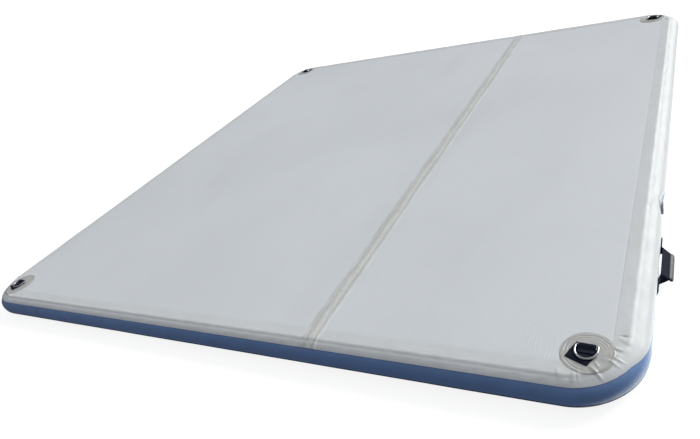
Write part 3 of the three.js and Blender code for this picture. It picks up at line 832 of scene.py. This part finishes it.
def ring_patch(corner, centre):
    """A round patch over the edge tape's lap, welded with concentric ridges and creased with the tape."""
    radius = np.concatenate([[0.0005], np.linspace(0.002, PATCH_RADIUS, 66)])[:, None]
    turn = np.linspace(0, 2 * math.pi, 150, endpoint=False)[None, :]
    wobble = 1 + 0.006 * np.sin(3 * turn + 1) + 0.004 * np.sin(7 * turn)
    x = centre.x + radius * wobble * np.cos(turn)
    y = centre.y + radius * wobble * np.sin(turn)
    run, distance = outline_place(x, y)
    over_edge = np.maximum(distance, 0)
    ground = MID + np.sqrt(MID**2 - over_edge**2)
    under = edge_swell(x, y, run, distance) * smooth_step(distance, -TAPE_REACH, -0.028)
    ridge_pitch = 0.0088
    phase = radius / ridge_pitch * 2 * math.pi + 0.9 * waves((x, y), 0.05, 51)
    ridges = (0.0001 + 0.0005 * smooth_step(radius, 0.025, 0.062)) * np.sin(phase)
    ridges = ridges * (0.55 + 0.6 * waves((x, y), 0.045, 52))
    rim = 0.0003 * np.exp(-(((radius - PATCH_RADIUS + 0.004) / 0.003) ** 2))
    tuck = 0.0006 * smooth_step(radius, PATCH_RADIUS - 0.002, PATCH_RADIUS)
    z = ground + under + 0.0010 + ridges + rim - tuck
    parts = [shell(grid(x, y, z), grid(x, y, z - 0.0009), wrap=True)]
    piece = add_part(f"patch_{corner}", f"ring_patch_{corner}", "mat", "ring_patch", *parts)


def ring_base(corner, centre, flip):
    """A square of webbing under the ring, sewn down just inside its edge."""
    low_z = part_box(f"ring_base_{corner}")[0].z
    half_x, half_y = 0.033, 0.030
    u, v = np.meshgrid(np.linspace(-1, 1, 61), np.linspace(-1, 1, 57), indexing="ij")
    edge_gap = np.minimum((1 - np.abs(u)) * half_x, (1 - np.abs(v)) * half_y)
    stitch_inset, stitch_width, stitch_pitch = 0.0045, 0.0009, 0.0032
    stitch_line = np.exp(-(((edge_gap - stitch_inset) / stitch_width) ** 2))
    stitches = 0.5 + 0.5 * np.sin((u * half_x + v * half_y) / stitch_pitch * 2 * math.pi)
    crown = 0.0010 * smooth_step(edge_gap, 0.0, 0.003) + 0.0004 * smooth_step(edge_gap, 0.005, 0.02)
    top = low_z + 0.0012 + crown - 0.0006 * stitch_line * (0.5 + 0.5 * stitches)
    x = u * half_x * (1 + 0.012 * np.cos(v * 3)) + 0.0003 * waves((u, v), 0.4, 53)
    y = v * half_y * (1 + 0.010 * np.cos(u * 3))
    sag = -0.0006 * smooth_step(edge_gap, 0.004, 0.0)
    place = (*turned((*RING_BASE_AT, 0), flip)[:2] + np.array(centre[:2]), 0)
    turn = RING_BASE_TURN + flip
    upper = turned(grid(x, y, top + sag), turn, place)
    lower = turned(grid(x, y, low_z - 0.0004), turn, place)
    parts = [shell(upper, lower)]
    piece = add_part(f"base_{corner}", f"ring_base_{corner}", "mat", "webbing", *parts, sharp_degrees=60)


def arc(x, y, radius, start, end, count):
    """Points on a circle round a middle, from one angle to another in degrees."""
    turn = np.radians(np.linspace(start, end, count))
    return list(zip(x + radius * np.cos(turn), y + radius * np.sin(turn)))


def ring_loop(corner, middle, flip):
    """Webbing round the ring's bar, with both legs sewn down on the base."""
    radius = 0.0035 + WEBBING / 2
    half_width = 0.022
    leg_end = -0.024
    low = [(y, -radius) for y in np.linspace(leg_end, -0.002, 8)]
    bend = arc(0, 0, radius, -90, 118, 26)
    start_y, start_z = bend[-1]
    end_z = -radius + WEBBING + 0.0002
    fall = np.linspace(0.12, 1, 9)
    drop = smooth_step(fall, 0, 0.62)
    back = zip(start_y + (leg_end - start_y) * fall, start_z + (end_z - start_z) * drop)
    line = np.array([(0, y, z) for y, z in [*low, *bend, *back]])
    across = np.tile((half_width, 0, 0), (len(line), 1))
    points, faces = ribbon(line, across, WEBBING)
    parts = [(turned(points, RING_TURN + flip, middle), faces)]
    piece = add_part(f"loop_{corner}", f"ring_loop_{corner}", "mat", "webbing", *parts, sharp_degrees=60)


def ring_wire(corner, middle, flip):
    """Bent steel wire: a straight bar, two short sides and a half circle."""
    half, side, bend, wire = 0.029, 0.015, 0.004, 0.003
    line = [(x, 0) for x in np.linspace(-half + bend, half - bend, 20)]
    line += arc(half - bend, -bend, bend, 90, 0, 7)
    line += [(half, y) for y in np.linspace(-bend, -side, 6)[1:]]
    line += arc(0, -side, half, 0, -180, 49)[1:]
    line += [(-half, y) for y in np.linspace(-side, -bend, 6)[1:]]
    line += arc(bend - half, -bend, bend, 180, 90, 7)[1:-1]
    c, s = math.cos(RING_REST), math.sin(RING_REST)
    centres = np.array([(x, y * c, y * s) for x, y in line])
    normals = np.tile((0, -s, c), (len(centres), 1))
    points, faces = tube(centres, normals, wire, closed=True)
    ring = (turned(points, RING_TURN + flip, middle), faces)
    add_part(f"ring_{corner}", f"d_ring_{corner}", f"d_ring_{corner}", "steel", ring)


def rings():
    for corner, way in CORNERS.items():
        low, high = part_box(f"ring_patch_{corner}")
        centre = (low + high) / 2
        flip = 0 if way > 0 else math.pi
        offset = turned((*RING_AT, 0), flip)
        middle = (centre.x + offset[0], centre.y + offset[1], BAR_HEIGHT)
        ring_patch(corner, centre)
        ring_base(corner, centre, flip)
        ring_loop(corner, middle, flip)
        ring_wire(corner, middle, flip)


# ---- Carry handle ----

HANDLE_Y = -0.935
HINGE = np.array([1.506, 0, 0.060])
STRAP_DROP = 0.034
STRAP = 0.003
OUT_DOWN = np.array([math.sqrt(0.5), 0, -math.sqrt(0.5)])  # the strap's way out from its hinge line
OUT_UP = np.array([math.sqrt(0.5), 0, math.sqrt(0.5)])
FOLD_START = 0.058  # the webbing folds over between these distances from the handle's middle
FOLD_END = 0.078
TAIL_LOW, TAIL_HIGH = 0.024, 0.056
TAIL_END = 0.122
HANDLE_PATCH_HALF = 0.040
HANDLE_PATCH_LOW, HANDLE_PATCH_HIGH = 0.023, 0.059
HANDLE_PATCH_OUT = 0.092


def handle_patch(end, sign):
    """A welded patch on the sidewall under the webbing's end."""
    start = edge_at(HANDLE_PATCH_HIGH)
    finish = edge_at(HANDLE_PATCH_LOW)
    distance = np.linspace(start, finish, 30)[:, None]
    offset = np.linspace(-1, 1, 36)[None, :]
    middle = (start + finish) / 2
    height_share = (distance - middle) / ((finish - start) / 2)
    round_off = (1 - 0.16 * np.abs(height_share) ** 6) * HANDLE_PATCH_HALF
    y = HANDLE_Y + sign * HANDLE_PATCH_OUT + offset * round_off
    distance = np.broadcast_to(distance, y.shape)
    angle = distance / MID
    run = (SIDE_RUN + CORNER_RUN) + y + ARC_CENTRE
    swell = edge_swell(FLAT_HALF, y, run, distance) * np.cos(angle / 2)

    def surface(lift):
        out = MID + swell + lift
        return grid(FLAT_HALF + out * np.sin(angle), y, MID + out * np.cos(angle))

    parts = [shell(surface(0.0001), surface(-0.0007))]
    piece = add_part(f"patch_handle_{end}", f"handle_patch_{end}", "mat", "blue_fabric", *parts)


def handle_webbing(end, sign):
    """Half of the handle's webbing: sewn flat on its patch, then folding outwards into the free strap."""
    strap_rows = np.linspace(0, 0.052, 10)
    fold_rows = np.linspace(0.054, 0.084, 24)
    tail_rows = np.linspace(0.088, TAIL_END, 8)
    from_middle = np.concatenate([strap_rows, fold_rows, tail_rows])
    out = smooth_step(from_middle, FOLD_END, FOLD_START + 0.002)[:, None, None]
    share = np.linspace(0, 1, 17)[None, :, None]
    angle = (edge_at(TAIL_HIGH) + (edge_at(TAIL_LOW) - edge_at(TAIL_HIGH)) * share) / MID
    outward = grid(np.sin(angle), 0, np.cos(angle))[:, :, 0]
    tail = np.array([FLAT_HALF, 0, MID]) + outward * (MID + 0.0003 + STRAP / 2)
    strap = HINGE + OUT_DOWN * STRAP_DROP * share
    middle = tail * (1 - out) + strap * out
    middle[..., 1] = HANDLE_Y + sign * from_middle[:, None]
    normal = outward * (1 - out) + OUT_UP * out
    normal = normal / np.linalg.norm(normal, axis=-1, keepdims=True)
    offset = normal * STRAP / 2 * rounded(2 * share - 1)
    parts = [shell(middle + offset, middle - offset)]
    piece = add_piece(f"webbing_{end}", parts, FINISHES["webbing"], 60)
    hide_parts(f"handle_tail_{end}", "handle_strap")
    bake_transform(piece)


def handle_grip():
    """A padded sleeve along the free edge of the strap, with its ends drawn in and a raised seam."""
    half_length = 0.063
    share = np.linspace(-1, 1, 61)
    middle = HINGE + OUT_DOWN * (STRAP_DROP + 0.004)
    centres = np.tile(middle, (len(share), 1))
    centres[:, 1] = HANDLE_Y + share * half_length
    ends = np.sqrt(np.clip(1 - np.abs(share) ** 14, 0.12, 1))
    creases = 1 + 0.035 * waves((share,), 0.22, 61)
    wide, high, seam_out, seam_radius = 0.0092, 0.0056, 0.0088, 0.0011
    radius = (ends * creases)[:, None] * (wide, high)
    normals = np.tile(OUT_DOWN, (len(share), 1))
    sleeve = tube(centres, normals, radius, closed=False, segments=36)
    seam_at = centres + OUT_DOWN * (seam_out * ends)[:, None]
    seam = tube(seam_at, normals, seam_radius, closed=False, segments=10)
    parts = [sleeve, seam]
    piece = add_part("grip_sleeve", "handle_grip", "carry_handle", "grip_rubber", *parts, sharp_degrees=60)


def handle():
    for end, sign in (("front", -1), ("back", 1)):
        handle_patch(end, sign)
        handle_webbing(end, sign)
    handle_grip()


# ---- Inflation valve: mm along its own axis, from the band's face outwards ----

GAP = 0.3
NECK_BACK, NECK_RADIUS = -38, 20
SEAT_FRONT, SEAT_RADIUS = -35, 12
BORE_RADIUS = 16
FLANGE_BACK, FLANGE_FRONT, FLANGE_RADIUS = 1.6, 4.6, 28
COLLAR_FRONT, COLLAR_RADIUS = 6.9, 21
LIP_FRONT, LIP_RADIUS = 7.8, 22.5
SPIDER_BACK, SPIDER_FRONT, HUB_RADIUS = -29, -26, 5
ARM_HALF = 1.5
NUT_BACK, NUT_FRONT, NUT_RADIUS = -9.5, -2.5, 26.5
NUT_KEYS = 12
KEY_HALF = 1.4
STEM_RADIUS = 2
BUTTON_BACK, BUTTON_FRONT, BUTTON_RADIUS = -11.5, -8.5, 6
DISC_BACK, DISC_FRONT, DISC_RADIUS = -42.6, -40.2, 18.5
LEASH_BACK, LEASH_FRONT = 4.9, 6.5
LEASH_INSIDE, LEASH_OUTSIDE = 21.4, 25.6
EYE_BACK, EYE_FRONT = 10.5, 11.7
EYE_INSIDE, EYE_OUTSIDE = 20.3, 24.5
TAB_HALF = 6
TAB_ROOT = 1.1  # how far a tab reaches into its ring
LEASH_TAB_END = 28.5
HINGE_START, HINGE_END = 29, 31
PLUG_BACK, PLUG_FRONT, PLUG_RADIUS = 2.8, 11.0, 15
PLUG_WALL = 2
CAP_LIP_BACK, CAP_LIP_FRONT, CAP_LIP_RADIUS = 9.4, 10.2, 21
CAP_RIM_BACK, CAP_FRONT, CAP_RIM_RADIUS = 12.0, 13.5, 22.5
CAP_RADIUS = 20
CAP_SEAL = 1
RIB_BACK, RIB_FRONT = 13.0, 15.5
RIB_HALF_LENGTH, RIB_HALF = 17.5, 2


def valve_part(name, node, body, slot, *parts):
    add_part(name, node, body, slot, *parts, sharp_degrees=30)


def valve_body():
    """The neck with its flange, collar and seat, and the spider that guides the plunger's stem."""
    neck = stepped(
        NECK_BACK, NECK_RADIUS, FLANGE_BACK, FLANGE_RADIUS, FLANGE_FRONT, COLLAR_RADIUS,
        COLLAR_FRONT, LIP_RADIUS, LIP_FRONT, BORE_RADIUS, SEAT_FRONT, SEAT_RADIUS,
    )
    hub = stepped(SPIDER_BACK, HUB_RADIUS, SPIDER_FRONT, STEM_RADIUS + GAP)
    arms = []
    inner, outer = HUB_RADIUS - 0.4, BORE_RADIUS + 0.6
    for low, high in ((-outer, -inner), (inner, outer)):
        arms.append(block((SPIDER_BACK, low, -ARM_HALF), (SPIDER_FRONT, high, ARM_HALF)))
        arms.append(block((SPIDER_BACK, -ARM_HALF, low), (SPIDER_FRONT, ARM_HALF, high)))
    valve_part("inflation_body", "valve_body", "mat", "white_plastic", neck, hub, *arms)


def valve_fixings():
    """The gasket under the flange, and the lock nut inside with its grip keys."""
    gasket = stepped(GAP, FLANGE_RADIUS, FLANGE_BACK - GAP, NECK_RADIUS + GAP)
    valve_part("flange_gasket", "valve_gasket", "mat", "black_rubber", gasket)
    nut = stepped(NUT_BACK, NUT_RADIUS, NUT_FRONT, NECK_RADIUS + GAP)
    keys = []
    for key in range(NUT_KEYS):
        turn = key * 2 * math.pi / NUT_KEYS
        y = (NUT_RADIUS + 0.1) * math.cos(turn)
        z = (NUT_RADIUS + 0.1) * math.sin(turn)
        low = (NUT_BACK + GAP, y - KEY_HALF, z - KEY_HALF)
        high = (NUT_FRONT - GAP, y + KEY_HALF, z + KEY_HALF)
        keys.append(block(low, high))
    valve_part("lock_ring", "valve_lock_nut", "mat", "white_plastic", nut, *keys)


def valve_plunger():
    """The disc that carries the seal, its stem, and the button on the stem's front end."""
    plunger = stepped(
        DISC_BACK, DISC_RADIUS, DISC_FRONT, STEM_RADIUS, BUTTON_BACK, BUTTON_RADIUS, BUTTON_FRONT, 0
    )
    valve_part("plunger", "valve_plunger", "valve_plunger", "grey_plastic", plunger)
    seal = stepped(DISC_FRONT + GAP, DISC_RADIUS - 1, NECK_BACK - GAP, STEM_RADIUS + GAP)
    valve_part("plunger_seal", "valve_plunger_seal", "valve_plunger", "black_rubber", seal)


def valve_leash():
    """The ring that turns on the collar, and the eye that holds the cap beyond the living hinge."""
    ring = stepped(LEASH_BACK, LEASH_OUTSIDE, LEASH_FRONT, LEASH_INSIDE)
    tab = block((LEASH_BACK, LEASH_OUTSIDE - TAB_ROOT, -TAB_HALF), (LEASH_FRONT, LEASH_TAB_END, TAB_HALF))
    valve_part("leash", "valve_leash", "valve_leash", "grey_plastic", ring, tab)
    eye = stepped(EYE_BACK, EYE_OUTSIDE, EYE_FRONT, EYE_INSIDE)
    arm = block((EYE_BACK, EYE_OUTSIDE - TAB_ROOT, -TAB_HALF), (EYE_FRONT, HINGE_END, TAB_HALF))
    hinge = block((LEASH_BACK, HINGE_START, -TAB_HALF), (EYE_FRONT, HINGE_END, TAB_HALF))
    valve_part("cap_eye_ring", "valve_cap_eye", "cap_eye", "grey_plastic", eye, arm, hinge)


def valve_cap():
    """The cap: a hollow plug, a lip behind the eye, a rim before it, and a rib to turn it by."""
    cap = stepped(
        PLUG_FRONT, PLUG_RADIUS - PLUG_WALL, PLUG_BACK, PLUG_RADIUS, CAP_LIP_BACK, CAP_LIP_RADIUS,
        CAP_LIP_FRONT, CAP_RADIUS, CAP_RIM_BACK, CAP_RIM_RADIUS, CAP_FRONT, 0,
    )
    rib = block((RIB_BACK, -RIB_HALF_LENGTH, -RIB_HALF), (RIB_FRONT, RIB_HALF_LENGTH, RIB_HALF), 0.0009)
    valve_part("cap", "valve_cap", "cap", "white_plastic", cap, rib)
    seal_front = CAP_LIP_BACK - GAP
    seal = stepped(seal_front - CAP_SEAL, CAP_RADIUS, seal_front, PLUG_RADIUS + GAP)
    valve_part("cap_seal", "valve_cap_seal", "cap", "black_rubber", seal)


def valve_spring():
    """The plunger's return spring. It stands on the spider, and shortens as the button is pushed."""
    low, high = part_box("valve_spring")
    turns, radius, wire = 5, 0.0038, 0.0005
    t = np.linspace(0, 1, 45 * turns)
    angle = 2 * math.pi * turns * t
    spread = grid(0, np.cos(angle), np.sin(angle))
    centres = np.tile((low.x + wire, VALVE_Y, MID), (len(t), 1))
    centres[:, 0] += (high.x - low.x - 2 * wire) * t
    coil = tube(centres + spread * radius, spread, wire, closed=False, segments=12)
    piece = add_part("spring", "valve_spring", "mat", "steel", coil)
    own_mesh(piece)


# ---- Floor, light and camera ----

def add_floor():
    """A pale floor that sweeps up into its own backdrop far behind."""
    radius = [0, 40, 120, 260, 400]
    height = [0, 0, 4, 30, 90]
    points = []
    for r, z in zip(radius, height):
        points += [(r * math.cos(k * math.pi / 24), r * math.sin(k * math.pi / 24), z) for k in range(48)]
    faces = [tuple(reversed(face)) for face in quads(len(radius), 48, wrap=True)]
    mesh = bpy.data.meshes.new("floor")
    mesh.from_pydata(points, [], faces)
    floor = bpy.data.objects.new("floor", mesh)
    bpy.context.scene.collection.objects.link(floor)
    finish = Finish("floor", (0.3, 0.3, 0.3), 0.9, Emission_Color=(1, 1, 1, 1), Emission_Strength=0.86)
    mesh.materials.append(finish.material)
    floor.location.z = -0.0005
    floor.visible_diffuse = False
    floor.visible_glossy = False


def add_key(toward, strength, softness, colour):
    """A distant soft light. toward points at it; softness is its width in degrees."""
    light = bpy.data.lights.new("key", "SUN")
    light.energy = strength
    light.angle = math.radians(softness)
    light.color = colour
    lamp = bpy.data.objects.new("key", light)
    lamp.rotation_euler = Vector(toward).to_track_quat("Z", "Y").to_euler()
    bpy.context.scene.collection.objects.link(lamp)


def add_world():
    """A pale studio: darker towards the ground, and brightest low down behind the mat to its right."""
    world = bpy.data.worlds.new("studio")
    bpy.context.scene.world = world
    world.use_nodes = True
    tree = world.node_tree
    # Each layer's direction, how far from it the layer starts and is full, as cosines, and its colour.
    layers = (
        ((0, 0, 1), -0.55, -0.05, (0.215, 0.230, 0.265)),
        ((0.3, 0.7, 1), 0.15, 0.95, (0.50, 0.50, 0.50)),
        ((0.55, 0.42, -0.72), 0.62, 0.98, (2.9, 2.9, 2.8)),
    )
    where = add_node(tree, "ShaderNodeTexCoord", {})["Generated"]
    colour = (0.12, 0.13, 0.15, 1)
    for direction, low, high, full in layers:
        inputs = {0: where, 1: Vector(direction).normalized()}
        toward = add_node(tree, "ShaderNodeVectorMath", inputs, operation="DOT_PRODUCT")["Value"]
        inputs = {"Value": toward, "From Min": low, "From Max": high}
        share = add_node(tree, "ShaderNodeMapRange", inputs, interpolation_type="SMOOTHSTEP")["Result"]
        inputs = {0: share, 6: colour, 7: (*full, 1)}
        colour = add_node(tree, "ShaderNodeMix", inputs, data_type="RGBA", clamp_result=False)[2]
    tree.links.new(colour, tree.nodes["Background"].inputs["Color"])


def add_camera():
    camera = bpy.data.cameras.new("camera")
    camera.sensor_width = 36
    camera.lens = CAMERA_LENS
    camera.shift_x, camera.shift_y = CAMERA_SHIFT
    eye = bpy.data.objects.new("camera", camera)
    eye.location = CAMERA_AT
    eye.rotation_euler = [math.radians(a) for a in CAMERA_TURN]
    bpy.context.scene.collection.objects.link(eye)
    bpy.context.scene.camera = eye


bpy.context.scene.view_settings.view_transform = "Standard"
add_camera()
add_world()
add_floor()
add_key((0.46, 0.71, 0.50), 3.5, 40, (1.0, 0.99, 0.965))

drop_yarns("drop_yarns_wide", "drop_stitch_yarns_wide", -YARN_REACH, SEAM_X - 0.04)
drop_yarns("drop_yarns_narrow", "drop_stitch_yarns_narrow", SEAM_X + 0.05, YARN_REACH + 0.01)
inflated_edge()
face_panels()
seam_strip()
bottom_seam_strip()
rings()
handle()
valve_body()
valve_fixings()
valve_plunger()
valve_leash()
valve_cap()
valve_spring()

slots = {subpart["node"]: subpart["material_slot"] for subpart in frame["record"]["subparts"]}
for name, node in frame["nodes"].items():
    node.data.materials.clear()
    node.data.materials.append(FINISHES[slots[name]])
